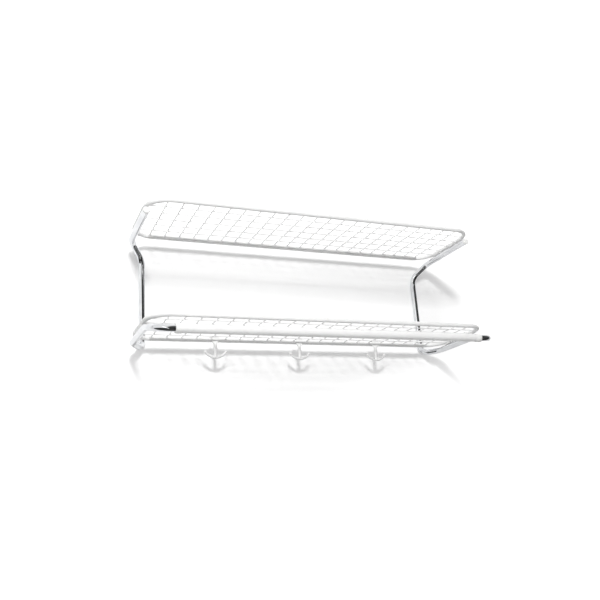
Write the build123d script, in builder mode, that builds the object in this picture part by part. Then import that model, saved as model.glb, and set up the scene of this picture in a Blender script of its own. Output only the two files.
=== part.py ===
from build123d import *
from math import cos, radians, sin

# Wall hat rack: two bent side tubes carry two wire shelves, a hanger rod and three sliding hooks.
# Millimetres. X runs along the wall to the right, the wall is the plane Y = 0 and the rack stands
# out from it along -Y. The origin is on the wall in the middle of the four wall screws.

# Side tubes
tube_od = 18.0
tube_wall = 1.5
post_inset = 36.0           # axis of an arm to the axis of its post
level_gap = 289.0           # between the axes of the upper and lower arms
elbow_drop = 40.0           # height over which a tube turns from its upper arm into its post
elbow_run = 50.0            # wall to the corner where an upper arm turns towards its post
foot_run = 65.0             # wall to the corner where a lower arm turns towards its post
upper_arm_reach = 260.0     # wall to the front end of an upper arm
dip_start = 235.0           # wall to the point where a lower arm starts to dip
rod_dip = 24.0              # hanger rod axis below the lower arms
arm_bend = 40.0
post_bend = 40.0
foot_bend = 28.0            # from the post forward, under the lower shelf's back corner
dip_bend = 90.0
corner_bend = 45.0
wall_hole_d = 5.5
wall_hole_spacing = 146.0   # between the two screw holes of one post

# Arm plugs
plug_head = 5.0
plug_round = 2.5
plug_spigot = 12.0
plug_clearance = 0.15

# Hanger rod and its collars
rod_reach = 325.0           # wall to the rod's axis
rod_wall = 1.9
rod_end_inset = 55.5        # axis of a lower arm to the end of the rod
rod_clearance = 0.1
tube_insertion = 26.0       # length of side tube inside the rod
collar_wall = 1.25          # of the collar over the rod
collar_grip = 9.0           # length of collar over the rod
collar_lip = 5.0            # length of collar over the side tube

# Shelf rims
rim_od = 12.0
rim_width = 952.0           # between the axes of the two short sides, which lie over the arms
rim_front = 297.0           # wall to the front bar's axis
rim_slot = 5.0              # between the back of the rim and the border bar, crossed by the tabs
rim_corner = 62.0

# Shelf wires
wire_size = 3.0
wire_sides = 8
cross_count = 22
cross_margin = 49.6         # shelf rim's side to the first cross wire
long_count = 5

# Border bar and the tabs that join it to the rim
bar_od = 6.0
bar_reach = 60.0            # wall to the bar's axis
bar_overhang = 4.0
tab_width = 16.0
tab_thickness = 3.0
tab_bays = 8                # bays of the grid from the middle of the shelf to an outer tab

# Plates between the arms and the rims, and the screws that hold the rims down
plate_width = 12.0
plate_length = 32.0
plate_thickness = 2.5
screw_d = 3.9
screw_clearance = 0.2
screw_head_d = 7.5
screw_head_height = 2.4
screw_seat_d = 8.5
screw_seat_depth = 1.0      # of the flat seat cut in the top of the rim
screw_bite = 8.0            # length of screw below the plate

# Hooks
hook_spacing = 250.0
saddle_width = 25.0
saddle_thickness = 3.0
saddle_clearance = 0.3
saddle_lip = 3.0            # depth of the lip behind the rim, below its axis
bead_d = 6.0
bead_angle = 35.0           # how far the front bead stands above the rim's axis, in degrees
neck_drop = 15.0            # rim axis to the end of the neck
stem_d = 9.0
hook_drop = 53.0            # rim axis to the lowest point of the hook
prong_d = 7.0
prong_span = 57.0           # between the centres of the two tips
prong_rise = 14.0
tip_d = 9.0

# Places worked out from the sizes above
arm_span = rim_width
post_span = arm_span - 2 * post_inset
rod_length = arm_span - 2 * rod_end_inset
rod_od = tube_od + 2 * (rod_clearance + rod_wall)
collar_od = rod_od + 2 * collar_wall
cross_pitch = (rim_width - 2 * cross_margin) / (cross_count - 1)
tab_offset = tab_bays * cross_pitch
arm_top = tube_od / 2
post_y = -tube_od / 2
bar_y = -bar_reach
rim_back_y = bar_y + bar_od / 2 + rim_slot + rim_od / 2
layer_rise = arm_top + plate_thickness + rim_od / 2  # arm's axis to the rim's, where the wire layers meet
rod_z = -level_gap / 2 - rod_dip
long_pitch = (rim_front - bar_reach) / (long_count + 1)
plate_ys = [bar_y - 1.5 * long_pitch, bar_y - 3.5 * long_pitch]
levels = {"upper": level_gap / 2, "lower": -level_gap / 2}
sides = {"left": -1, "right": 1}
UP_FROM = (Align.CENTER, Align.CENTER, Align.MIN)
DOWN_FROM = (Align.CENTER, Align.CENTER, Align.MAX)


def finish(piece, name):
    piece.part.label = name
    export_step(piece.part, f"parts/{name}.step")


def side_tube(side):
    """One length of tube: upper arm, post, lower arm and the stub that enters the hanger rod."""
    arm_x = side * arm_span / 2
    post_x = side * post_span / 2
    top = level_gap / 2
    points = [
        (arm_x, -upper_arm_reach, top),
        (arm_x, -elbow_run, top),
        (post_x, post_y, top - elbow_drop),
        (post_x, post_y, -top),
        (arm_x, -foot_run, -top),
        (arm_x, -dip_start, -top),
        (arm_x, -rod_reach, rod_z),
        (side * (rod_length / 2 - tube_insertion), -rod_reach, rod_z),
    ]
    radii = [arm_bend, post_bend, foot_bend, arm_bend, dip_bend, corner_bend]
    with BuildPart() as tube:
        with BuildLine() as route:
            FilletPolyline(*points, radius=radii)
        with BuildSketch(Plane(origin=route.line @ 0, z_dir=route.line % 0)):
            Circle(tube_od / 2)
            Circle(tube_od / 2 - tube_wall, mode=Mode.SUBTRACT)
        sweep()
        with Locations(*[(post_x, post_y, z * wall_hole_spacing / 2) for z in (-1, 1)]):
            Cylinder(wall_hole_d / 2, 2 * tube_od, rotation=(90, 0, 0), mode=Mode.SUBTRACT)
        with Locations(*[(arm_x, y, z) for y in plate_ys for z in levels.values()]):
            Cylinder(screw_d / 2, tube_od, align=UP_FROM, mode=Mode.SUBTRACT)
    return tube


def arm_plug(side):
    """A rounded cap on the end of an upper arm, with a spigot in the tube's bore."""
    seat = Plane(
        origin=(side * arm_span / 2, -upper_arm_reach, level_gap / 2),
        x_dir=(1, 0, 0),
        z_dir=(0, -1, 0),
    )
    with BuildPart() as plug:
        with BuildSketch(seat):
            Circle(tube_od / 2)
        extrude(amount=plug_head)
        fillet(plug.edges().sort_by(Axis.Y)[0], radius=plug_round)
        with BuildSketch(seat):
            Circle(tube_od / 2 - tube_wall - plug_clearance)
        extrude(amount=-plug_spigot)
    return plug


def rod_collar(side):
    """A stepped ferrule over the end of the rod and the side tube that enters it."""
    end = Plane(
        origin=(side * rod_length / 2, -rod_reach, rod_z),
        x_dir=(0, 1, 0),
        z_dir=(side, 0, 0),
    )
    with BuildPart() as collar:
        with BuildSketch(end):
            Circle(collar_od / 2)
            Circle(tube_od / 2, mode=Mode.SUBTRACT)
        extrude(amount=collar_lip)
        with BuildSketch(end):
            Circle(collar_od / 2)
            Circle(rod_od / 2, mode=Mode.SUBTRACT)
        extrude(amount=-collar_grip)
    return collar


def shelf_rim(level):
    """A closed loop of round bar with rounded corners and screw seats over the arms."""
    z = level + layer_rise
    corner_x = rim_width / 2
    with BuildPart() as rim:
        with BuildLine() as half:
            FilletPolyline(
                (0, rim_back_y, z),
                (corner_x, rim_back_y, z),
                (corner_x, -rim_front, z),
                (0, -rim_front, z),
                radius=rim_corner,
            )
        with BuildSketch(Plane(origin=half.line @ 0, z_dir=half.line % 0)):
            Circle(rim_od / 2)
        sweep()
        mirror(about=Plane.YZ)
        with Locations(*plate_places(z + rim_od / 2)):
            Cylinder(screw_d / 2 + screw_clearance, rim_od, align=DOWN_FROM, mode=Mode.SUBTRACT)
            Cylinder(screw_seat_d / 2, screw_seat_depth, align=DOWN_FROM, mode=Mode.SUBTRACT)
    return rim


def wire_section():
    RegularPolygon(wire_size / 2, wire_sides, major_radius=False, rotation=180 / wire_sides)


def long_wires(level):
    """The lower layer: wires from one short side of the rim to the other, coped to the rim."""
    length = rim_width
    middle_y = -(rim_front + bar_reach) / 2
    start = Plane(
        origin=(-length / 2, middle_y, level + layer_rise - wire_size / 2),
        x_dir=(0, 1, 0),
        z_dir=(1, 0, 0),
    )
    with BuildPart() as wires:
        with BuildSketch(start):
            with GridLocations(long_pitch, 0, long_count, 1):
                wire_section()
        extrude(amount=length)
        add(shelf_rim(level), mode=Mode.SUBTRACT)
    return wires


def cross_wires(level):
    """The upper layer: wires from the border bar to the front of the rim, coped to the rim."""
    start_y = bar_y - bar_od / 2
    start = Plane(
        origin=(0, start_y, level + layer_rise + wire_size / 2),
        x_dir=(1, 0, 0),
        z_dir=(0, -1, 0),
    )
    with BuildPart() as wires:
        with BuildSketch(start):
            with GridLocations(cross_pitch, 0, cross_count, 1):
                wire_section()
        extrude(amount=rim_front + start_y)
        add(shelf_rim(level), mode=Mode.SUBTRACT)
    return wires


def border_bar(level):
    length = (cross_count - 1) * cross_pitch + 2 * bar_overhang
    with BuildPart() as bar:
        with Locations((0, bar_y, level + layer_rise)):
            Cylinder(bar_od / 2, length, rotation=(0, 90, 0))
    return bar


def rim_tabs(level, places):
    """Flat tabs across the slot between the back of the rim and the border bar."""
    back = rim_back_y - rim_od / 2
    front = bar_y + bar_od / 2
    with BuildPart() as tabs:
        with Locations(*[(x, (back + front) / 2, level + layer_rise) for x in places]):
            Box(tab_width, back - front, tab_thickness)
    return tabs


def plate_places(z):
    return [(side * arm_span / 2, y, z) for side in sides.values() for y in plate_ys]


def arm_plates(level):
    """Flat plates on top of each arm, under the short sides of the rim."""
    with BuildPart() as plates:
        with Locations(*plate_places(level + arm_top)):
            Box(plate_width, plate_length, plate_thickness, align=UP_FROM)
            Cylinder(screw_d / 2 + screw_clearance, plate_thickness, align=UP_FROM, mode=Mode.SUBTRACT)
    return plates


def arm_screws(level):
    """Pan-head screws down through the rim and the plates into the top wall of each arm."""
    shank = rim_od - screw_seat_depth + plate_thickness + screw_bite
    with BuildPart() as screws:
        with Locations(*plate_places(level + layer_rise + rim_od / 2 - screw_seat_depth)):
            Cylinder(screw_head_d / 2, screw_head_height, align=UP_FROM)
            Cylinder(screw_d / 2, shank, align=DOWN_FROM)
    return screws


def double_hook(x):
    """A cast hook: a beaded saddle over the rim, a tapered neck, a stem and two upturned prongs."""
    rim_z = levels["lower"] + layer_rise
    inner = rim_od / 2 + saddle_clearance
    outer = inner + saddle_thickness
    bead_reach = inner + bead_d / 2
    stem_y = rim_back_y - (inner + outer) / 2
    lowest = rim_z - hook_drop + prong_d / 2
    middle = Plane(origin=(x, rim_back_y, rim_z), x_dir=(0, 1, 0), z_dir=(1, 0, 0))
    front = Plane(origin=(x, rim_back_y - inner, rim_z), x_dir=(1, 0, 0), z_dir=(0, -1, 0))
    with BuildPart() as hook:
        with BuildSketch(middle):
            Circle(outer)
            with Locations((0, -outer)):
                Rectangle(2 * outer, 2 * outer, mode=Mode.SUBTRACT)
            with Locations(((inner + outer) / 2, -saddle_lip / 2)):
                Rectangle(saddle_thickness, saddle_lip)
            with Locations((-bead_reach * cos(radians(bead_angle)), bead_reach * sin(radians(bead_angle)))):
                Circle(bead_d / 2)
            Circle(inner, mode=Mode.SUBTRACT)
        extrude(amount=saddle_width / 2, both=True)
        with BuildSketch(front):
            with BuildLine():
                Polyline(
                    (-stem_d / 2, -neck_drop),
                    (stem_d / 2, -neck_drop),
                    (stem_d / 2, -neck_drop / 2),
                    (saddle_width / 2, 0),
                    (-saddle_width / 2, 0),
                    (-stem_d / 2, -neck_drop / 2),
                    close=True,
                )
            make_face()
        extrude(amount=saddle_thickness)
        with BuildSketch(Plane(origin=(x, stem_y, lowest), z_dir=(0, 0, 1))):
            Circle(stem_d / 2)
        extrude(amount=rim_z - neck_drop / 2 - lowest)
        with BuildLine() as sweep_line:
            ThreePointArc(
                (x - prong_span / 2, stem_y, lowest + prong_rise),
                (x, stem_y, lowest),
                (x + prong_span / 2, stem_y, lowest + prong_rise),
            )
        with BuildSketch(Plane(origin=sweep_line.line @ 0, z_dir=sweep_line.line % 0)):
            Circle(prong_d / 2)
        sweep()
        with Locations(sweep_line.line @ 0, sweep_line.line @ 1):
            Sphere(tip_d / 2)
    return hook


for name, side in sides.items():
    finish(side_tube(side), f"{name}_side_tube")
    finish(arm_plug(side), f"{name}_arm_plug")
    finish(rod_collar(side), f"{name}_rod_collar")

with BuildPart() as hanger_rod:
    with BuildSketch(Plane(origin=(-rod_length / 2, -rod_reach, rod_z), x_dir=(0, 1, 0), z_dir=(1, 0, 0))):
        Circle(rod_od / 2)
        Circle(tube_od / 2 + rod_clearance, mode=Mode.SUBTRACT)
    extrude(amount=rod_length)
finish(hanger_rod, "hanger_rod")

tab_places = {"upper": (-tab_offset, 0, tab_offset), "lower": (-tab_offset, tab_offset)}
for name, level in levels.items():
    finish(shelf_rim(level), f"{name}_shelf_rim")
    finish(long_wires(level), f"{name}_long_wires")
    finish(cross_wires(level), f"{name}_cross_wires")
    finish(border_bar(level), f"{name}_border_bar")
    finish(rim_tabs(level, tab_places[name]), f"{name}_rim_tabs")
    finish(arm_plates(level), f"{name}_arm_plates")
    finish(arm_screws(level), f"{name}_arm_screws")

hook_places = {"left": -hook_spacing, "middle": 0, "right": hook_spacing}
for name, x in hook_places.items():
    finish(double_hook(x), f"{name}_hook")
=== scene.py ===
import math
import bmesh
import bpy
from mathutils import Matrix, Vector


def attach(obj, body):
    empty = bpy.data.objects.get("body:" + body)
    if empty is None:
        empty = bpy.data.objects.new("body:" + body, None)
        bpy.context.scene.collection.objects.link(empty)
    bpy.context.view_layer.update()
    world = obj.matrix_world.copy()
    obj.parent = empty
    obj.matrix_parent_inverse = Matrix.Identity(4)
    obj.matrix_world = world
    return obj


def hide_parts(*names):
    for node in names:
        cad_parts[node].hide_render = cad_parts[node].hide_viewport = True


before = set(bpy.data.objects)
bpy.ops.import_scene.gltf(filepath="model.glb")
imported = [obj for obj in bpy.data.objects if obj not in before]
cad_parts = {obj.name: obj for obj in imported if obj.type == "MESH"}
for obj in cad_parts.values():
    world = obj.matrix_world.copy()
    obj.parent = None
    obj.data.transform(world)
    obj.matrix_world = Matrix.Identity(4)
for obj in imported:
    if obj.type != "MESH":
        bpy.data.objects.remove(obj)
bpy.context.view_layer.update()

print("frame loaded:", len(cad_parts), "nodes")

# Node helpers, shared by the geometry trees and the finishes


def addNode(tree, kind, links=None, **settings):
    node = tree.nodes.new(kind)
    for key, value in settings.items():
        setattr(node, key, value)
    for key, value in (links or {}).items():
        socket = node.inputs[key]
        if isinstance(value, bpy.types.NodeSocket):
            tree.links.new(value, socket)
        else:
            socket.default_value = value
    return node


def makeTree(name, inputs, build):
    tree = bpy.data.node_groups.new(name, "GeometryNodeTree")
    tree.interface.new_socket("Geometry", in_out="INPUT", socket_type="NodeSocketGeometry")
    for label, kind in inputs.items():
        tree.interface.new_socket(label, in_out="INPUT", socket_type="NodeSocket" + kind)
    tree.interface.new_socket("Finish", in_out="INPUT", socket_type="NodeSocketMaterial")
    tree.interface.new_socket("Geometry", in_out="OUTPUT", socket_type="NodeSocketGeometry")
    entry = tree.nodes.new("NodeGroupInput")
    shape = build(tree, entry.outputs)
    smooth = addNode(tree, "GeometryNodeSetShadeSmooth", {"Geometry": shape})
    solid = addNode(tree, "GeometryNodeRealizeInstances", {"Geometry": smooth.outputs[0]})
    painted = addNode(tree, "GeometryNodeSetMaterial", {
        "Geometry": solid.outputs[0], "Material": entry.outputs["Finish"],
    })
    leave = tree.nodes.new("NodeGroupOutput")
    tree.links.new(painted.outputs[0], leave.inputs[0])
    return tree


def linkObject(name, mesh):
    piece = bpy.data.objects.new(name, mesh)
    bpy.context.scene.collection.objects.link(piece)
    return piece


def plainMesh(piece):
    # the evaluated result as a mesh of its own, with no modifier left on the piece
    graph = bpy.context.evaluated_depsgraph_get()
    mesh = bpy.data.meshes.new_from_object(piece.evaluated_get(graph))
    old = piece.data
    piece.modifiers.clear()
    piece.data = mesh
    bpy.data.meshes.remove(old)
    mesh.name = piece.name


def growPiece(name, tree, values, finish, source=None):
    piece = linkObject(name, source or bpy.data.meshes.new(name))
    grow = piece.modifiers.new("grow", "NODES")
    grow.node_group = tree
    sockets = {item.name: item.identifier for item in tree.interface.items_tree if item.in_out == "INPUT"}
    for label, value in values.items():
        grow[sockets[label]] = value
    grow[sockets["Finish"]] = finish
    plainMesh(piece)
    return piece


def settle(piece, body, slot, *nodes):
    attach(piece, body)
    if nodes:
        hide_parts(*nodes)


# Geometry trees


def roundSkin(tree, given, route):
    # a round tube with closed ends along a curve
    ring = addNode(tree, "GeometryNodeCurvePrimitiveCircle", {
        "Resolution": given["Sides"], "Radius": given["Radius"],
    })
    skin = addNode(tree, "GeometryNodeCurveToMesh", {
        "Curve": route, "Profile Curve": ring.outputs[0], "Fill Caps": True,
    })
    return skin.outputs[0]


def bentTubeShape(tree, given):
    # a poly line with a bend radius at each corner becomes a smooth round tube
    line = addNode(tree, "GeometryNodeMeshToCurve", {"Mesh": given["Geometry"]})
    bend = addNode(tree, "GeometryNodeInputNamedAttribute", {"Name": "bendRadius"}, data_type="FLOAT")
    route = addNode(tree, "GeometryNodeFilletCurve", {
        "Curve": line.outputs[0], "Count": given["Bend steps"], "Radius": bend.outputs[0],
    }, mode="POLY")
    return roundSkin(tree, given, route.outputs[0])


def wireRowShape(tree, given):
    # one straight wire, repeated at a fixed step
    far = addNode(tree, "ShaderNodeVectorMath", {0: given["Start"], 1: given["Span"]}, operation="ADD")
    line = addNode(tree, "GeometryNodeCurvePrimitiveLine", {"Start": given["Start"], "End": far.outputs[0]})
    wire = roundSkin(tree, given, line.outputs[0])
    places = addNode(tree, "GeometryNodeMeshLine", {
        "Count": given["Count"], "Offset": given["Step"],
    }, mode="OFFSET")
    row = addNode(tree, "GeometryNodeInstanceOnPoints", {"Points": places.outputs[0], "Instance": wire})
    return row.outputs[0]


# half sizes of a weld bead by its place, how far it sits from the wires' meeting plane, and how beads vary
welds = {
    "crossing": (0.0017, 0.0017, 0.0011), "sideEnd": (0.0012, 0.0025, 0.0024),
    "cornerEnd": (0.0016, 0.0025, 0.0024), "frontEnd": (0.0025, 0.0012, 0.0023),
    "shift": 0.001, "least": 0.82, "most": 1.14,
}


def weldGridShape(tree, given):
    # small squashed beads on a grid of places, each a little different
    grid = addNode(tree, "GeometryNodeMeshGrid", {
        "Size X": given["Size X"], "Size Y": given["Size Y"],
        "Vertices X": given["Count X"], "Vertices Y": given["Count Y"],
    })
    placed = addNode(tree, "GeometryNodeTransform", {
        "Geometry": grid.outputs[0], "Translation": given["Centre"],
    })
    bead = addNode(tree, "GeometryNodeMeshIcoSphere", {"Radius": 1.0, "Subdivisions": 2})
    vary = addNode(tree, "FunctionNodeRandomValue", {"Seed": given["Seed"]}, data_type="FLOAT")
    # the float sockets of Random Value stand third and fourth
    vary.inputs[2].default_value = welds["least"]
    vary.inputs[3].default_value = welds["most"]
    size = addNode(tree, "ShaderNodeVectorMath", {
        0: given["Bead"], "Scale": vary.outputs[1],
    }, operation="SCALE")
    beads = addNode(tree, "GeometryNodeInstanceOnPoints", {
        "Points": placed.outputs[0], "Instance": bead.outputs[0], "Scale": size.outputs[0],
    })
    return beads.outputs[0]


def copyRowShape(tree, given):
    # copies of a made piece on the vertices of the source mesh
    made = addNode(tree, "GeometryNodeObjectInfo", {"Object": given["Piece"]}, transform_space="ORIGINAL")
    copies = addNode(tree, "GeometryNodeInstanceOnPoints", {
        "Points": given["Geometry"], "Instance": made.outputs["Geometry"],
    })
    return copies.outputs[0]


bentTube = makeTree("bentTube", {"Radius": "Float", "Sides": "Int", "Bend steps": "Int"}, bentTubeShape)
wireRow = makeTree("wireRow", {
    "Count": "Int", "Start": "Vector", "Span": "Vector", "Step": "Vector",
    "Radius": "Float", "Sides": "Int",
}, wireRowShape)
weldGrid = makeTree("weldGrid", {
    "Size X": "Float", "Size Y": "Float", "Count X": "Int", "Count Y": "Int",
    "Centre": "Vector", "Bead": "Vector", "Seed": "Int",
}, weldGridShape)
copyRow = makeTree("copyRow", {"Piece": "Object"}, copyRowShape)
print("geometry trees ready")

# Finishes


def newFinish(name):
    finish = bpy.data.materials.new(name)
    finish.use_nodes = True
    tree = finish.node_tree
    shader = tree.nodes["Principled BSDF"]
    place = addNode(tree, "ShaderNodeTexCoord").outputs["Object"]
    return finish, tree, shader, place


noiseBand = {"low": 0.3, "high": 0.7, "roughness": 0.55}  # most of a noise lies in this band


def noiseRange(tree, place, scale, low, high, detail=3.0):
    # a noise whose band is spread over the range asked for
    noise = addNode(tree, "ShaderNodeTexNoise", {
        "Vector": place, "Scale": scale, "Detail": detail, "Roughness": noiseBand["roughness"],
    })
    spread = addNode(tree, "ShaderNodeMapRange", {
        "Value": noise.outputs["Fac"], "From Min": noiseBand["low"], "From Max": noiseBand["high"],
        "To Min": low, "To Max": high,
    })
    return spread.outputs[0]


def bumpFrom(tree, height, strength, distance):
    bump = addNode(tree, "ShaderNodeBump", {"Height": height, "Strength": strength, "Distance": distance})
    return bump.outputs[0]


def twoTone(tree, factor, first, second):
    mix = addNode(tree, "ShaderNodeMix", {"Factor": factor}, data_type="RGBA")
    # the colour sockets of Mix stand seventh and eighth, and their result third
    mix.inputs[6].default_value = (*first, 1.0)
    mix.inputs[7].default_value = (*second, 1.0)
    return mix.outputs[2]


lacquerLook = {
    "bright": (0.93, 0.93, 0.925), "dull": (0.885, 0.885, 0.88), "patch": 9.0,
    "gloss": (0.26, 0.40), "glossPatch": 46.0, "peel": 720.0, "peelBump": (0.10, 0.0002),
    "coat": 0.15, "coatGloss": 0.2,
}
hookLook = {**lacquerLook, "patch": 40.0, "peel": 380.0, "gloss": (0.18, 0.30)}


def lacquerFinish(name, look):
    # sprayed white lacquer: faint clouding, orange peel and a slightly uneven gloss
    finish, tree, shader, place = newFinish(name)
    cloud = noiseRange(tree, place, look["patch"], 0.0, 1.0)
    tree.links.new(twoTone(tree, cloud, look["bright"], look["dull"]), shader.inputs["Base Color"])
    tree.links.new(noiseRange(tree, place, look["glossPatch"], *look["gloss"]), shader.inputs["Roughness"])
    peel = noiseRange(tree, place, look["peel"], 0.0, 1.0, detail=2.0)
    tree.links.new(bumpFrom(tree, peel, *look["peelBump"]), shader.inputs["Normal"])
    shader.inputs["Coat Weight"].default_value = look["coat"]
    shader.inputs["Coat Roughness"].default_value = look["coatGloss"]
    return finish


chromeLook = {
    "bright": (0.86, 0.87, 0.88), "dull": (0.74, 0.75, 0.77), "haze": 24.0,
    "gloss": (0.02, 0.06), "glossPatch": 55.2, "ripple": 130.0, "rippleBump": (0.05, 0.0002),
}


def chromeFinish(name, look):
    # bright chrome plate with a thin haze of handling and a faint ripple from polishing
    finish, tree, shader, place = newFinish(name)
    haze = noiseRange(tree, place, look["haze"], 0.0, 1.0, detail=5.0)
    tree.links.new(twoTone(tree, haze, look["bright"], look["dull"]), shader.inputs["Base Color"])
    smear = noiseRange(tree, place, look["glossPatch"], *look["gloss"], detail=6.0)
    tree.links.new(smear, shader.inputs["Roughness"])
    ripple = noiseRange(tree, place, look["ripple"], 0.0, 1.0, detail=1.0)
    tree.links.new(bumpFrom(tree, ripple, *look["rippleBump"]), shader.inputs["Normal"])
    shader.inputs["Metallic"].default_value = 1.0
    return finish


plasticLook = {
    "bright": (0.925, 0.925, 0.915), "dull": (0.885, 0.885, 0.87), "patch": 60.0,
    "gloss": (0.24, 0.36), "glossPatch": 210.0, "grain": 1500.0, "grainBump": (0.06, 0.0001), "ior": 1.49,
}


def plasticFinish(name, look):
    # moulded white plastic with a fine tool grain
    finish, tree, shader, place = newFinish(name)
    cloud = noiseRange(tree, place, look["patch"], 0.0, 1.0)
    tree.links.new(twoTone(tree, cloud, look["bright"], look["dull"]), shader.inputs["Base Color"])
    tree.links.new(noiseRange(tree, place, look["glossPatch"], *look["gloss"]), shader.inputs["Roughness"])
    grain = noiseRange(tree, place, look["grain"], 0.0, 1.0, detail=1.0)
    tree.links.new(bumpFrom(tree, grain, *look["grainBump"]), shader.inputs["Normal"])
    shader.inputs["IOR"].default_value = look["ior"]
    return finish


zincLook = {
    "bright": (0.62, 0.62, 0.60), "dull": (0.44, 0.44, 0.42), "spangle": 420.0, "gloss": (0.26, 0.46),
}


def zincFinish(name, look):
    # zinc plated screw steel with a fine spangle
    finish, tree, shader, place = newFinish(name)
    cell = addNode(tree, "ShaderNodeTexVoronoi", {"Vector": place, "Scale": look["spangle"]})
    colour = twoTone(tree, cell.outputs["Distance"], look["bright"], look["dull"])
    tree.links.new(colour, shader.inputs["Base Color"])
    tree.links.new(noiseRange(tree, place, look["spangle"], *look["gloss"]), shader.inputs["Roughness"])
    shader.inputs["Metallic"].default_value = 1.0
    return finish


chrome = chromeFinish("chromePlate", chromeLook)
lacquer = lacquerFinish("whiteLacquer", lacquerLook)
hookLacquer = lacquerFinish("hookEnamel", hookLook)
plastic = plasticFinish("whitePlastic", plasticLook)
zinc = zincFinish("zincScrew", zincLook)
print("finishes ready")

# Meshes from points


def lineMesh(name, points, bends, closed=False):
    # a chain of edges that carries a bend radius at every corner
    count = len(points)
    edges = [(i, (i + 1) % count) for i in range(count if closed else count - 1)]
    mesh = bpy.data.meshes.new(name)
    mesh.from_pydata(points, edges, [])
    radii = mesh.attributes.new("bendRadius", "FLOAT", "POINT")
    radii.data.foreach_set("value", bends)
    return mesh


def pointMesh(name, points):
    mesh = bpy.data.meshes.new(name)
    mesh.from_pydata(points, [], [])
    return mesh


def meshFrom(shape, name, finish=None):
    # the finished bmesh as a mesh
    mesh = bpy.data.meshes.new(name)
    shape.to_mesh(mesh)
    shape.free()
    if finish:
        mesh.materials.append(finish)
    return mesh


turning = {"sides": 64, "merge": 1e-6, "sharpAngle": 40.0}


def lathePiece(name, profile, start, direction, finish, sides=turning["sides"]):
    # a closed profile of (along, radius) pairs turned about an axis that leaves start
    shape = bmesh.new()
    axis = Vector(direction)
    side = axis.orthogonal().normalized()
    ring = [shape.verts.new(Vector(start) + axis * along + side * radius) for along, radius in profile]
    edges = [shape.edges.new((ring[i], ring[(i + 1) % len(ring)])) for i in range(len(ring))]
    bmesh.ops.spin(
        shape, geom=ring + edges, cent=start, axis=axis, angle=math.tau, steps=sides, use_merge=True,
    )
    bmesh.ops.remove_doubles(shape, verts=shape.verts, dist=turning["merge"])
    bmesh.ops.recalc_face_normals(shape, faces=shape.faces)
    for face in shape.faces:
        face.smooth = True
    mesh = meshFrom(shape, name, finish)
    mesh.set_sharp_from_angle(angle=math.radians(turning["sharpAngle"]))
    return linkObject(name, mesh)


def arcProfile(centre, radius, first, last, steps):
    # points of a round in a lathe profile, angles in degrees from the axis direction
    turn = [math.radians(first + (last - first) * i / steps) for i in range(steps + 1)]
    return [(centre[0] + radius * math.cos(a), centre[1] + radius * math.sin(a)) for a in turn]


# Side tubes

sideTubes = {
    "radius": 0.009, "sides": 48, "bendSteps": 24,
    "armX": 0.476, "postX": 0.440, "level": 0.1445, "elbowDrop": 0.040, "elbowRun": 0.050, "footRun": 0.065,
    "reach": 0.260, "dipStart": 0.235, "rodReach": 0.325, "rodZ": -0.1685, "stubX": 0.3945,
    "elbowBend": 0.040, "footBend": 0.028, "dipBend": 0.090, "cornerBend": 0.045,
}
hands = ((-1, "left"), (1, "right"))


def makeSideTube(side, label):
    s = sideTubes
    points = [
        (side * s["armX"], -s["reach"], s["level"]),
        (side * s["armX"], -s["elbowRun"], s["level"]),
        (side * s["postX"], -s["radius"], s["level"] - s["elbowDrop"]),
        (side * s["postX"], -s["radius"], -s["level"]),
        (side * s["armX"], -s["footRun"], -s["level"]),
        (side * s["armX"], -s["dipStart"], -s["level"]),
        (side * s["armX"], -s["rodReach"], s["rodZ"]),
        (side * s["stubX"], -s["rodReach"], s["rodZ"]),
    ]
    elbow = s["elbowBend"]
    bends = [0.0, elbow, elbow, s["footBend"], elbow, s["dipBend"], s["cornerBend"], 0.0]
    values = {"Radius": s["radius"], "Sides": s["sides"], "Bend steps": s["bendSteps"]}
    route = lineMesh(label + "Route", points, bends)
    tube = growPiece(label + "ChromeTube", bentTube, values, chrome, route)
    settle(tube, "rack", "chrome_tube", label + "_side_tube")


for side, label in hands:
    makeSideTube(side, label)
print("side tubes made")

# Plugs, rod and collars

armPlugs = {"head": 0.005, "round": 0.0025, "flat": 0.0035, "spigot": 0.012, "spigotRadius": 0.00735}


def makePlug(side, label):
    s, p = sideTubes, armPlugs
    start = (side * s["armX"], -s["reach"], s["level"])
    spigot = [(-p["spigot"], 0.0), (-p["spigot"], p["spigotRadius"]), (0.0, p["spigotRadius"])]
    edge = arcProfile((p["head"] - p["round"], s["radius"] - p["round"]), p["round"], 90, 0, 8)
    profile = spigot + [(0.0, s["radius"])] + edge + [(p["head"], p["flat"]), (p["head"], 0.0)]
    plug = lathePiece(label + "Plug", profile, start, (0, -1, 0), plastic)
    settle(plug, "rack", "white_plastic", label + "_arm_plug")


hangerRod = {"radius": 0.011, "bore": 0.0091, "half": 0.4205, "edge": 0.0006}
rodCollars = {"radius": 0.01225, "grip": 0.009, "lip": 0.005, "round": 0.0012}


def makeRod():
    s, r = sideTubes, hangerRod
    length = 2 * r["half"]
    profile = [
        (0.0, r["bore"]), (0.0, r["radius"] - r["edge"]), (r["edge"], r["radius"]),
        (length - r["edge"], r["radius"]), (length, r["radius"] - r["edge"]), (length, r["bore"]),
    ]
    rod = lathePiece("hangerRodTube", profile, (-r["half"], -s["rodReach"], s["rodZ"]), (1, 0, 0), lacquer)
    settle(rod, "rack", "white_lacquer", "hanger_rod")


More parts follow.
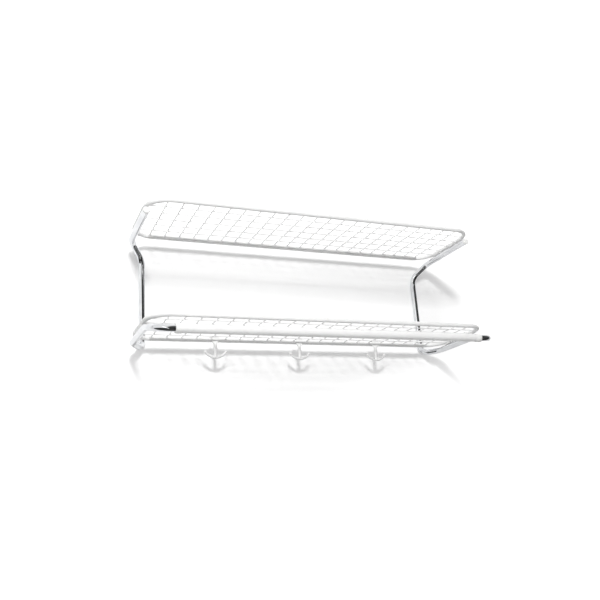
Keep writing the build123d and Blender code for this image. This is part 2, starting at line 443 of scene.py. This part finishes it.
def makeCollar(side, label):
    s, r, c = sideTubes, hangerRod, rodCollars
    start = (side * r["half"], -s["rodReach"], s["rodZ"])
    tailRound = c["round"] / 2
    nose = arcProfile((c["lip"] - c["round"], c["radius"] - c["round"]), c["round"], 0, 90, 6)
    tail = arcProfile((-c["grip"] + tailRound, c["radius"] - tailRound), tailRound, 90, 180, 4)
    inner = [(-c["grip"], r["radius"]), (0.0, r["radius"]), (0.0, s["radius"]), (c["lip"], s["radius"])]
    collar = lathePiece(label + "Collar", inner + nose + tail, start, (side, 0, 0), plastic)
    settle(collar, "rack", "white_plastic", label + "_rod_collar")


for side, label in hands:
    makePlug(side, label)
    makeCollar(side, label)
makeRod()
print("plugs, rod and collars made")

# Shelves

shelves = {
    "rimRadius": 0.006, "rimX": 0.476, "rimFront": -0.297, "rimBack": -0.046, "corner": 0.062,
    "sides": 40, "bendSteps": 20, "rise": 0.0175, "seed": 11, "lowerSeed": 31,
    "wireRadius": 0.0015, "wireSides": 14, "wireBite": 0.002,
    "crossCount": 22, "crossX": 0.4264, "longCount": 5,
    "barY": -0.060, "barRadius": 0.003, "barSides": 28, "barRound": 0.0012, "barOverhang": 0.004,
    "tabX": 0.3249, "tabSize": (0.016, 0.006, 0.003), "tabRound": 0.0011,
    "plateSize": (0.012, 0.032, 0.0025), "plateRound": 0.0007, "screwSeat": 0.001,
}
rimInner = shelves["rimX"] - shelves["rimRadius"]
frontInner = shelves["rimFront"] + shelves["rimRadius"]
longStep = (shelves["barY"] - shelves["rimFront"]) / (shelves["longCount"] + 1)
plateYs = [shelves["barY"] - 1.5 * longStep, shelves["barY"] - 3.5 * longStep]  # midway between long wires


def softBoxes(name, size, centres, radius, finish):
    # flat pieces with rounded edges, one box for each centre
    shape = bmesh.new()
    for centre in centres:
        place = Matrix.Translation(centre) @ Matrix.Diagonal((*size, 1.0))
        bmesh.ops.create_cube(shape, size=1.0, matrix=place)
    bmesh.ops.bevel(shape, geom=shape.edges[:], offset=radius, segments=3, profile=0.5, affect="EDGES")
    for face in shape.faces:
        face.smooth = True
    return linkObject(name, meshFrom(shape, name, finish))


def makeRim(label, z):
    s = shelves
    corners = [
        (-s["rimX"], s["rimBack"], z), (s["rimX"], s["rimBack"], z),
        (s["rimX"], s["rimFront"], z), (-s["rimX"], s["rimFront"], z),
    ]
    values = {"Radius": s["rimRadius"], "Sides": s["sides"], "Bend steps": s["bendSteps"]}
    route = lineMesh(label + "RimRoute", corners, [s["corner"]] * 4, closed=True)
    rim = growPiece(label + "Rim", bentTube, values, lacquer, route)
    settle(rim, "rack", "white_lacquer", label + "_shelf_rim")


def makeWires(label, z):
    s = shelves
    bite = s["wireBite"]  # how far a wire's end goes into the rim
    crossStep = 2 * s["crossX"] / (s["crossCount"] - 1)
    crossStart = s["barY"] - s["barRadius"] / 2  # inside the bar
    shared = {"Radius": s["wireRadius"], "Sides": s["wireSides"]}
    longValues = {
        **shared, "Count": s["longCount"], "Step": (0, -longStep, 0),
        "Start": (-rimInner - bite, s["barY"] - longStep, z - s["wireRadius"]),
        "Span": (2 * rimInner + 2 * bite, 0, 0),
    }
    crossValues = {
        **shared, "Count": s["crossCount"], "Step": (crossStep, 0, 0),
        "Start": (-s["crossX"], crossStart, z + s["wireRadius"]),
        "Span": (0, frontInner - bite - crossStart, 0),
    }
    longWires = growPiece(label + "LongWires", wireRow, longValues, lacquer)
    settle(longWires, "rack", "white_lacquer", label + "_long_wires")
    crossWires = growPiece(label + "CrossWires", wireRow, crossValues, lacquer)
    settle(crossWires, "rack", "white_lacquer", label + "_cross_wires")


def makeWelds(label, z, seed):
    s, w = shelves, welds
    acrossX, columns, rows = 2 * s["crossX"], s["crossCount"], s["longCount"]
    longDepth = (rows - 1) * longStep
    middleY = (s["barY"] + s["rimFront"]) / 2
    barFront = s["barY"] - s["barRadius"]
    # the front long wire meets the rim where its corner has begun to turn
    past = s["corner"] - longStep
    cornerInner = s["rimX"] - s["corner"] + math.sqrt((s["corner"] - s["rimRadius"]) ** 2 - past ** 2)
    low, high = z - w["shift"], z + w["shift"]
    # for each kind: size and counts of the grid, its centre, and the bead
    spots = {
        "Crossing": ((acrossX, longDepth), (columns, rows), (0, middleY, z), w["crossing"]),
        "SideEnd": (
            (2 * rimInner, longDepth - longStep), (2, rows - 1),
            (0, middleY + longStep / 2, low), w["sideEnd"],
        ),
        "CornerEnd": ((2 * cornerInner, 0.0), (2, 2), (0, middleY - longDepth / 2, low), w["cornerEnd"]),
        "FrontEnd": (
            (acrossX, barFront - frontInner), (columns, 2),
            (0, (barFront + frontInner) / 2, high), w["frontEnd"],
        ),
    }
    for index, (part, (size, counts, centre, bead)) in enumerate(spots.items()):
        values = {
            "Size X": size[0], "Size Y": size[1], "Count X": counts[0], "Count Y": counts[1],
            "Centre": centre, "Bead": bead, "Seed": seed + index,
        }
        settle(growPiece(label + part + "Welds", weldGrid, values, lacquer), "rack", "white_lacquer")


def makeBar(label, z):
    s = shelves
    half = s["crossX"] + s["barOverhang"]
    r, ends = s["barRadius"], s["barRound"]
    profile = [(0.0, 0.0)] + arcProfile((ends, r - ends), ends, 180, 90, 4)
    profile += arcProfile((2 * half - ends, r - ends), ends, 90, 0, 4) + [(2 * half, 0.0)]
    start = (-half, s["barY"], z)
    bar = lathePiece(label + "BorderBar", profile, start, (1, 0, 0), lacquer, s["barSides"])
    settle(bar, "rack", "white_lacquer", label + "_border_bar")


def makeTabs(label, z, places):
    s = shelves
    middleY = (s["rimBack"] - s["rimRadius"] + s["barY"] + s["barRadius"]) / 2
    centres = [(x, middleY, z) for x in places]
    tabs = softBoxes(label + "Tabs", s["tabSize"], centres, s["tabRound"], lacquer)
    settle(tabs, "rack", "white_lacquer", label + "_rim_tabs")


armScrews = {
    "headRadius": 0.00375, "headHeight": 0.0024, "headEdge": 0.0006, "headRound": 0.0018,
    "shankRadius": 0.00195, "shank": 0.0215, "point": 0.003, "pointRadius": 0.00078,
    "recess": 0.0043125, "slot": 0.0009, "slotDepth": 0.0013, "sides": 24,
}


def screwTemplate():
    # pan head with a cross recess, seat of the head at the origin
    a = armScrews
    crown = arcProfile((a["headEdge"], a["headRadius"] - a["headRound"]), a["headRound"], 90, 0, 8)
    profile = [
        (-a["shank"], 0.0), (-a["shank"], a["pointRadius"]), (-a["shank"] + a["point"], a["shankRadius"]),
        (0.0, a["shankRadius"]), (0.0, a["headRadius"]), *crown, (a["headHeight"], 0.0),
    ]
    screw = lathePiece("screwTemplate", profile, (0, 0, 0), (0, 0, 1), zinc, a["sides"])
    cutter = bmesh.new()
    for size in ((a["recess"], a["slot"]), (a["slot"], a["recess"])):
        scale = Matrix.Diagonal((*size, 2 * a["slotDepth"], 1.0))
        bmesh.ops.create_cube(cutter, size=1.0, matrix=Matrix.Translation((0, 0, a["headHeight"])) @ scale)
    recess = linkObject("recess", meshFrom(cutter, "recess"))
    cut = screw.modifiers.new("recess", "BOOLEAN")
    cut.operation = "DIFFERENCE"
    cut.solver = "EXACT"
    cut.use_self = True
    cut.object = recess
    plainMesh(screw)
    bpy.data.objects.remove(recess)
    return screw


def makeFixings(label, level, template):
    s = shelves
    top = level + sideTubes["radius"]
    spots = [(side * sideTubes["armX"], y) for side in (-1, 1) for y in plateYs]
    middles = [(x, y, top + s["plateSize"][2] / 2) for x, y in spots]
    plates = softBoxes(label + "Plates", s["plateSize"], middles, s["plateRound"], lacquer)
    settle(plates, "rack", "white_lacquer", label + "_arm_plates")
    seatZ = level + s["rise"] + s["rimRadius"] - s["screwSeat"]
    seats = pointMesh(label + "Seats", [(x, y, seatZ) for x, y in spots])
    screws = growPiece(label + "Screws", copyRow, {"Piece": template}, zinc, seats)
    settle(screws, "rack", "zinc_screw", label + "_arm_screws")


template = screwTemplate()
shelfRows = {  # height of the arms, first seed of the welds, and places of the tabs
    "upper": (sideTubes["level"], shelves["seed"], (-shelves["tabX"], 0.0, shelves["tabX"])),
    "lower": (-sideTubes["level"], shelves["lowerSeed"], (-shelves["tabX"], shelves["tabX"])),
}
for label, (level, seed, tabPlaces) in shelfRows.items():
    plane = level + shelves["rise"]
    makeRim(label, plane)
    makeWires(label, plane)
    makeWelds(label, plane, seed)
    makeBar(label, plane)
    makeTabs(label, plane, tabPlaces)
    makeFixings(label, level, template)
bpy.data.objects.remove(template)
print("shelves made")

# Hooks

coatHooks = {
    "spacing": 0.250, "width": 0.025, "thick": 0.003, "clearance": 0.0003, "lip": 0.003, "archSteps": 24,
    "bead": 0.003, "beadAngle": 35.0, "beadInset": 0.001, "beadEnd": 0.002, "beadFull": 0.8,
    "neckDrop": 0.015, "neckSteps": 12, "neckSides": 28, "neckSquare": 0.35,
    "stem": 0.0045, "stemFrom": 0.85, "drop": 0.053,
    "prong": 0.0035, "prongRoot": 1.12, "prongTaper": 0.20, "prongSteps": 16, "prongSides": 24,
    "span": 0.0285, "rise": 0.014, "tip": 0.0045, "tipRows": 14,
    "voxel": 0.0005, "smooth": 5, "smoothFactor": 0.5,
}
saddleInner = shelves["rimRadius"] + coatHooks["clearance"]
saddleOuter = saddleInner + coatHooks["thick"]
stemY = -(saddleInner + saddleOuter) / 2
lowestZ = -coatHooks["drop"] + coatHooks["prong"]


def joinRings(shape, rings, flip=False):
    # faces between neighbouring rings, and a closed face at each end
    count = len(rings[0])
    for first, second in zip(rings, rings[1:]):
        for k in range(count):
            m = (k + 1) % count
            others = [first[m], second[m], second[k]]
            shape.faces.new([first[k]] + (others[::-1] if flip else others))
    ends = (rings[0], rings[-1][::-1]) if flip else (rings[0][::-1], rings[-1])
    for end in ends:
        shape.faces.new(end)


def addTube(shape, centres, radii, sides=20):
    # a round skin through centres, with a radius at each and closed ends
    rings = []
    angles = [math.tau * k / sides for k in range(sides)]
    for i, centre in enumerate(centres):
        ahead = (centres[min(i + 1, len(centres) - 1)] - centres[max(i - 1, 0)]).normalized()
        across = ahead.cross(Vector((0, 1, 0))).normalized()
        other = ahead.cross(across)
        ring = [centre + radii[i] * (math.cos(a) * across + math.sin(a) * other) for a in angles]
        rings.append([shape.verts.new(point) for point in ring])
    joinRings(shape, rings)


def addSaddle(shape):
    # an arch over the rim with a lip behind it, and a bead along its front
    h = coatHooks
    turns = [math.pi * i / h["archSteps"] for i in range(h["archSteps"] + 1)]
    arch = [(saddleOuter * math.cos(a), saddleOuter * math.sin(a)) for a in turns]
    under = [(saddleInner * math.cos(a), saddleInner * math.sin(a)) for a in turns[::-1]]
    outline = [(saddleOuter, -h["lip"])] + arch + under + [(saddleInner, -h["lip"])]
    half = h["width"] / 2
    joinRings(shape, [[shape.verts.new((x, y, z)) for y, z in outline] for x in (-half, half)])
    reach, turn = saddleInner + h["bead"], math.radians(h["beadAngle"])
    middle = Vector((0, -reach * math.cos(turn), reach * math.sin(turn)))
    end = Vector((half - h["beadInset"], 0, 0))
    full = h["beadFull"] * end
    radii = [h["beadEnd"], h["bead"], h["bead"], h["beadEnd"]]
    addTube(shape, [middle - end, middle - full, middle + full, middle + end], radii)


def addNeck(shape):
    # the flat front of the saddle narrows and thickens into the round stem
    h = coatHooks
    rings = []
    for i in range(h["neckSteps"] + 1):
        t = i / h["neckSteps"]
        ease = t * t * (3 - 2 * t)
        wide = (1 - ease) * h["width"] / 2 + ease * h["stem"]
        deep = (1 - ease) * h["thick"] / 2 + ease * h["stem"]
        power = h["neckSquare"] + (1 - h["neckSquare"]) * ease
        ring = []
        for k in range(h["neckSides"]):
            a = math.tau * k / h["neckSides"]
            c, d = math.cos(a), math.sin(a)
            x = wide * math.copysign(abs(c) ** power, c)
            y = stemY + deep * math.copysign(abs(d) ** power, d)
            ring.append(shape.verts.new((x, y, -h["neckDrop"] * t)))
        rings.append(ring)
    joinRings(shape, rings, flip=True)
    top = Vector((0, stemY, -h["stemFrom"] * h["neckDrop"]))
    addTube(shape, [top, Vector((0, stemY, lowestZ))], [h["stem"], h["stem"]], h["neckSides"])


def addProngs(shape):
    # both prongs are one arc, thickest at the stem, with a ball at each end
    h = coatHooks
    radius = (h["span"] ** 2 + h["rise"] ** 2) / (2 * h["rise"])
    reach = math.asin(h["span"] / radius)
    steps, sides = h["prongSteps"], h["prongSides"]
    turns = [reach * (i / steps - 1) for i in range(2 * steps + 1)]
    arms = [Vector((radius * math.sin(a), stemY, lowestZ + radius * (1 - math.cos(a)))) for a in turns]
    radii = [h["prong"] * (h["prongRoot"] - h["prongTaper"] * abs(a) / reach) for a in turns]
    addTube(shape, arms, radii, sides)
    for tip in (arms[0], arms[-1]):
        place = Matrix.Translation(tip)
        bmesh.ops.create_uvsphere(
            shape, u_segments=sides, v_segments=h["tipRows"], radius=h["tip"], matrix=place,
        )


def hookMesh():
    # saddle, neck, stem and prongs are joined by a voxel skin, as in one casting
    shape = bmesh.new()
    addSaddle(shape)
    addNeck(shape)
    addProngs(shape)
    bmesh.ops.recalc_face_normals(shape, faces=shape.faces)
    form = linkObject("hookForm", meshFrom(shape, "hookForm"))
    skin = form.modifiers.new("skin", "REMESH")
    skin.mode = "VOXEL"
    skin.voxel_size = coatHooks["voxel"]
    skin.use_smooth_shade = True
    relax = form.modifiers.new("relax", "SMOOTH")
    relax.factor = coatHooks["smoothFactor"]
    relax.iterations = coatHooks["smooth"]
    plainMesh(form)
    cast = form.data.copy()
    bpy.data.objects.remove(form)
    cast.materials.clear()
    cast.materials.append(hookLacquer)
    return cast


hookCast = hookMesh()
rimZ = -sideTubes["level"] + shelves["rise"]
for label, x in (("left", -coatHooks["spacing"]), ("middle", 0.0), ("right", coatHooks["spacing"])):
    cast = hookCast.copy()
    cast.transform(Matrix.Translation((x, shelves["rimBack"], rimZ)))
    hook = linkObject(label + "CoatHook", cast)
    settle(hook, label + "_hook", "hook_lacquer", label + "_hook")
bpy.data.meshes.remove(hookCast)
print("hooks made")

# Stage: a white wall that only shows from the room, a pale floor and soft light

stage = {
    "wallSize": (9.0, 6.0), "wallGap": 0.0006, "wallTone": 0.86,
    # wallLift, wallLiftFar and wallLiftMirror set a painted glow on the wall, for the camera and in the
    # chrome
    "wallLift": 0.21, "wallLiftFar": 0.80, "wallLiftMirror": 0.14,
    "liftFrom": 0.42, "liftTo": 0.75, "liftOval": (0.8, 1.0, 1.9),
    # floorMirror is a painted dark reflection of the floor, seen only in the chrome
    "floorZ": -1.55, "floorTone": 0.62, "floorMirror": 0.06, "floorLift": 0.85,
    # mirrorTone and darkTone paint the sky seen only in the chrome: a painted reflection
    "skyTone": 0.34, "mirrorTone": 0.90,
    "darkTone": 0.06, "darkFrom": 0.34, "darkTo": 0.54, "darkWay": (0.66, -0.74, -0.12),
}
white = (1.0, 1.0, 1.0, 1.0)


def stagePlane(name, corners, finish):
    mesh = bpy.data.meshes.new(name)
    mesh.from_pydata(corners, [], [(0, 1, 2, 3)])
    mesh.materials.append(finish)
    linkObject(name, mesh)


def stageFinish(name):
    finish = bpy.data.materials.new(name)
    finish.use_nodes = True
    tree = finish.node_tree
    tree.nodes.clear()
    return finish, tree, addNode(tree, "ShaderNodeLightPath").outputs


def addGlow(tree, body, strength):
    # white light on top of the matt body, so that shadows stay
    glow = addNode(tree, "ShaderNodeEmission", {"Color": white, "Strength": strength})
    return addNode(tree, "ShaderNodeAddShader", {0: body, 1: glow.outputs[0]}).outputs[0]


def paintedGlowWall():
    # matt white and clear from behind, with a painted glow for the camera that grows far from the rack
    # and washes out soft shadows there, and a weaker painted glow in the chrome
    finish, tree, rays = stageFinish("wallPaint")
    body = addNode(tree, "ShaderNodeBsdfDiffuse", {"Color": (*(stage["wallTone"],) * 3, 1.0)})
    place = addNode(tree, "ShaderNodeTexCoord").outputs["Object"]
    oval = addNode(tree, "ShaderNodeVectorMath", {0: place, 1: stage["liftOval"]}, operation="MULTIPLY")
    away = addNode(tree, "ShaderNodeVectorMath", {0: oval.outputs[0]}, operation="LENGTH")
    spread = addNode(tree, "ShaderNodeMapRange", {
        "Value": away.outputs["Value"], "From Min": stage["liftFrom"], "From Max": stage["liftTo"],
        "To Min": stage["wallLift"], "To Max": stage["wallLiftFar"],
    })
    seen = addNode(tree, "ShaderNodeMath", {
        0: rays["Is Camera Ray"], 1: spread.outputs[0],
    }, operation="MULTIPLY")
    strength = addNode(tree, "ShaderNodeMath", {
        0: rays["Is Glossy Ray"], 1: stage["wallLiftMirror"], 2: seen.outputs[0],
    }, operation="MULTIPLY_ADD")
    front = addGlow(tree, body.outputs[0], strength.outputs[0])
    face = addNode(tree, "ShaderNodeNewGeometry")
    clear = addNode(tree, "ShaderNodeBsdfTransparent")
    result = addNode(tree, "ShaderNodeMixShader", {
        0: face.outputs["Backfacing"], 1: front, 2: clear.outputs[0],
    })
    addNode(tree, "ShaderNodeOutputMaterial", {"Surface": result.outputs[0]})
    return finish


def paintedReflectionFloor():
    # pale to the camera and to light, and dark in the chrome: a painted dark reflection
    finish, tree, rays = stageFinish("floorPaint")
    shade = twoTone(tree, rays["Is Glossy Ray"], (stage["floorTone"],) * 3, (stage["floorMirror"],) * 3)
    body = addNode(tree, "ShaderNodeBsdfDiffuse", {"Color": shade})
    strength = addNode(tree, "ShaderNodeMath", {
        0: rays["Is Camera Ray"], 1: stage["floorLift"],
    }, operation="MULTIPLY")
    result = addGlow(tree, body.outputs[0], strength.outputs[0])
    addNode(tree, "ShaderNodeOutputMaterial", {"Surface": result})
    return finish


def makeStage():
    wide, tall = stage["wallSize"]
    gap, floorZ = stage["wallGap"], stage["floorZ"]
    half, top = wide / 2, tall / 2
    wallCorners = [(-half, gap, floorZ), (half, gap, floorZ), (half, gap, top), (-half, gap, top)]
    floorCorners = [
        (-wide, -wide, floorZ), (wide, -wide, floorZ), (wide, wide, floorZ), (-wide, wide, floorZ),
    ]
    stagePlane("backWall", wallCorners, paintedGlowWall())
    stagePlane("paleFloor", floorCorners, paintedReflectionFloor())


def makeWorld():
    # even soft light; in glossy rays a brighter sky with a dark patch in front of the wall, a painted
    # reflection for the chrome to mirror
    world = bpy.data.worlds.new("studio")
    bpy.context.scene.world = world
    world.use_nodes = True
    tree = world.node_tree
    tree.nodes.clear()
    way = addNode(tree, "ShaderNodeTexCoord").outputs["Generated"]
    front = addNode(tree, "ShaderNodeVectorMath", {0: way, 1: stage["darkWay"]}, operation="DOT_PRODUCT")
    shade = addNode(tree, "ShaderNodeMapRange", {
        "Value": front.outputs["Value"], "From Min": stage["darkFrom"], "From Max": stage["darkTo"],
        "To Min": stage["mirrorTone"], "To Max": stage["darkTone"],
    })
    rays = addNode(tree, "ShaderNodeLightPath").outputs
    mirrored = addNode(tree, "ShaderNodeMix", {
        0: rays["Is Glossy Ray"], 2: stage["skyTone"], 3: shade.outputs[0],
    })
    level = addNode(tree, "ShaderNodeMix", {0: rays["Is Camera Ray"], 2: mirrored.outputs[0], 3: 1.0})
    sky = addNode(tree, "ShaderNodeBackground", {"Color": white, "Strength": level.outputs[0]})
    addNode(tree, "ShaderNodeOutputWorld", {"Surface": sky.outputs[0]})


lamps = {
    "key": {
        "at": (-0.85, -2.60, 1.05), "aim": (0.0, 0.0, 0.0),
        "size": (0.42, 0.42), "power": 60.0, "mirrored": False,
    },
    "strip": {
        "at": (-1.4, -2.3, -0.1), "aim": (0.0, 0.0, 0.0),
        "size": (0.30, 2.2), "power": 3.0, "mirrored": True,
    },
}


def makeLamps():
    for name, lamp in lamps.items():
        light = bpy.data.lights.new(name + "Lamp", "AREA")
        light.shape = "RECTANGLE"
        light.size, light.size_y = lamp["size"]
        light.energy = lamp["power"]
        holder = bpy.data.objects.new(name + "Lamp", light)
        bpy.context.scene.collection.objects.link(holder)
        holder.visible_glossy = lamp["mirrored"]
        way = Vector(lamp["aim"]) - Vector(lamp["at"])
        turn = way.to_track_quat("-Z", "Z").to_matrix().to_4x4()
        holder.matrix_world = Matrix.Translation(lamp["at"]) @ turn


camera = {
    "at": (-0.79033, -1.83409, -0.55847), "yaw": 24.28, "pitch": 15.94, "roll": -4.09,
    "lens": 41.480, "sensor": 36.0, "near": 0.01,
}


def makeCamera():
    yaw, pitch, roll = (math.radians(camera[key]) for key in ("yaw", "pitch", "roll"))
    flat = math.cos(pitch)
    ahead = Vector((math.sin(yaw) * flat, math.cos(yaw) * flat, math.sin(pitch)))
    level = Vector((math.cos(yaw), -math.sin(yaw), 0.0))
    up = level.cross(ahead)
    right = level * math.cos(roll) + up * math.sin(roll)
    top = up * math.cos(roll) - level * math.sin(roll)
    data = bpy.data.cameras.new("photoCamera")
    data.lens = camera["lens"]
    data.sensor_width = camera["sensor"]
    data.clip_start = camera["near"]
    eye = bpy.data.objects.new("photoCamera", data)
    bpy.context.scene.collection.objects.link(eye)
    turn = Matrix((right, top, -ahead)).transposed().to_4x4()
    eye.matrix_world = Matrix.Translation(camera["at"]) @ turn
    bpy.context.scene.camera = eye


makeStage()
makeWorld()
makeLamps()
makeCamera()
bpy.context.scene.view_settings.view_transform = "Standard"
print("stage, light and camera ready")
